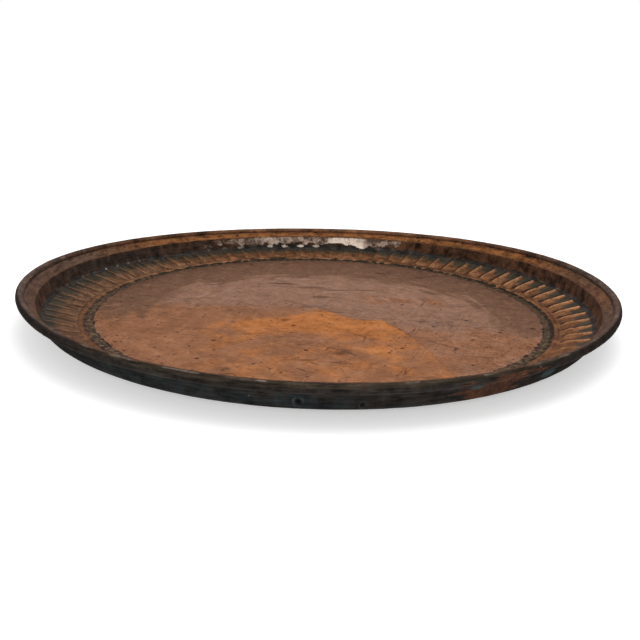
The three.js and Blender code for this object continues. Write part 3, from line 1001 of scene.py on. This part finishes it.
    def marks(self):
        """Hairlines and dark specks."""
        ways = ((12, 0.5, 0.012, 3.1), (-38, 0.4, 0.011, 7.7), (71, 0.3, 0.01, 11.3), (-8, 0.6, 0.014, 15.1))
        lines = self.largest(*(strokes(self, *way) for way in ways))
        spots = self.largest(specks(self, 9 * MM, 0.22, 0.66), specks(self, 31 * MM, 0.11, 0.4))
        return self.largest(self.times(lines, 0.65), self.times(spots, 0.9))


def aged_copper():
    n = Copper()
    colour = n.rim_colour(n.band_colour(n.floor_colour()))
    marks = n.marks()
    colour = n.mix(marks, colour, (52, 38, 30))
    grit = n.ramp(n.noise(3.6 * MM, 5, 0.7), 0.52, 0.63)
    colour = n.mix(n.times(grit, n.layer("grit"), 0.75), colour, (44, 34, 27))

    dirt = n.largest(n.dirt, n.dark, n.brown)
    rough = n.mix_value(dirt, n.ramp(n.patchy, 0.2, 0.8, 0.34, 0.48), 0.6)
    rough = n.mix_value(n.largest(n.tin_and_reflection, n.painted_shine), rough, 0.3)
    rough = n.mix_value(n.largest(n.layer("painted_hollow_shade"), n.layer("painted_deep_shade")), rough, 0.95)
    metal = n.mix_value(dirt, n.mix_value(n.bright, 0.68, 0.82), 0.25)
    height = n.plus(n.times(n.fine, 0.25), n.times(marks, -0.3))
    bump = n.feed(n.add("ShaderNodeBump"), Distance=0.5 * MM, Strength=0.6, Height=height)

    shader = n.add("ShaderNodeBsdfPrincipled")
    n.feed(shader, Base_Color=colour, Roughness=rough, Metallic=metal, Normal=bump.outputs[0])
    n.feed(shader, Specular_IOR_Level=0.14, Specular_Tint=linear(190, 160, 140))
    return n.finish(shader.outputs[0])


def forged_iron():
    n = Nodes(bpy.data.materials.new("forged_iron"))
    patchy = n.noise(7 * MM, 4)
    rusty = n.mix(n.ramp(patchy, 0.45, 0.7), (58, 54, 50), (104, 62, 38))
    rough = n.ramp(patchy, 0.3, 0.8, 0.45, 0.8)
    shader = n.add("ShaderNodeBsdfPrincipled")
    return n.finish(n.feed(shader, Base_Color=rusty, Roughness=rough, Metallic=0.7).outputs[0])


# Studio


def studio_floor():
    n = Nodes(bpy.data.materials.new("studio_floor"))
    grey = (STUDIO_GREY, STUDIO_GREY, STUDIO_GREY, 1)
    diffuse = n.feed(n.add("ShaderNodeBsdfDiffuse"), Color=grey)
    glowing = n.times(seen_directly(n), STUDIO_GLOW)
    glow = n.feed(n.add("ShaderNodeEmission"), Color=(1, 1, 1, 1), Strength=glowing)
    both = n.result(n.add("ShaderNodeAddShader"), diffuse.outputs[0], glow.outputs[0])
    mesh = bpy.data.meshes.new("studio_floor")
    signs = ((-1, -1), (1, -1), (1, 1), (-1, 1))
    corners = [(STUDIO_HALF_WIDTH * x, STUDIO_HALF_WIDTH * y, STUDIO_FLOOR_HEIGHT) for x, y in signs]
    mesh.from_pydata(corners, [], [(0, 1, 2, 3)])
    mesh.materials.append(n.finish(both))
    floor = bpy.data.objects.new("studio_floor", mesh)
    bpy.context.scene.collection.objects.link(floor)


def seen_directly(n):
    """1 for rays from the camera and for what metal or glass shows of the background."""
    rays = n.add("ShaderNodeLightPath").outputs
    return n.largest(rays["Is Camera Ray"], rays["Is Glossy Ray"], rays["Is Transmission Ray"])


def studio_world():
    n = Nodes(bpy.data.worlds.new("studio"))
    strength = n.mix_value(seen_directly(n), STUDIO_LIGHT, 1)
    background = n.feed(n.add("ShaderNodeBackground"), Color=(1, 1, 1, 1), Strength=strength)
    bpy.context.scene.world = n.finish(background.outputs[0])


def add_softbox(name, place, target, width, height, watts):
    lamp = bpy.data.lights.new(name, "AREA")
    lamp.shape = "RECTANGLE"
    lamp.size = width
    lamp.size_y = height
    lamp.energy = watts
    box = bpy.data.objects.new(name, lamp)
    box.location = place
    box.rotation_euler = (Vector(target) - Vector(place)).to_track_quat("-Z", "Y").to_euler()
    bpy.context.scene.collection.objects.link(box)


def add_camera():
    tilt, roll = math.radians(CAMERA_TILT_DEG), math.radians(CAMERA_ROLL_DEG)
    forward = Vector((0, math.cos(tilt), -math.sin(tilt)))
    level = Vector((1, 0, 0))
    upright = Vector((0, math.sin(tilt), math.cos(tilt)))
    place = CAMERA_RIGHT * level + CAMERA_UP * upright - CAMERA_DISTANCE * forward
    right = math.cos(roll) * level + math.sin(roll) * upright
    up = math.cos(roll) * upright - math.sin(roll) * level
    lens = bpy.data.cameras.new("camera")
    lens.lens = CAMERA_LENS_MM
    lens.sensor_width = SENSOR_MM
    camera = bpy.data.objects.new("camera", lens)
    camera.matrix_world = Matrix.Translation(place) @ Matrix((right, up, -forward)).transposed().to_4x4()
    bpy.context.scene.collection.objects.link(camera)
    bpy.context.scene.camera = camera


def add_sheet():
    points, layers, faces = lay_out(ring_table())
    normals = vertex_normals(points, faces)
    copper = aged_copper()
    band_spans = ((FLOOR_END, KNEE_END), (UNDER_KNEE, UNDER_FLOOR))
    maps = {
        "floor": lambda index, turns, arcs: disc_map(index, arcs, points),
        "band": functools.partial(strip_map, spans=band_spans),
        "rim": functools.partial(strip_map, spans=((KNEE_END, UNDER_KNEE),)),
    }
    for zone, place_on_map in maps.items():
        piece = add_piece("tray_" + zone, zone, points, normals, layers, faces, place_on_map)
        piece.data.materials.append(copper)
        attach(piece, "root")
        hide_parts("tray_sheet")


def dress_wire():
    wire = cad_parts["rim_wire"]
    wire.data.materials.clear()
    wire.data.materials.append(forged_iron())


add_camera()
add_sheet()
dress_wire()
studio_floor()
studio_world()
add_softbox("front_box", place=(-0.35, -1.7, 0.62), target=(0, 0.2, 0), width=1.3, height=0.5, watts=5)
add_softbox("top_box", place=(0.2, 0.1, 1.9), target=(0, 0, 0), width=1.6, height=1.6, watts=14)
bpy.context.scene.view_settings.view_transform = "Standard"
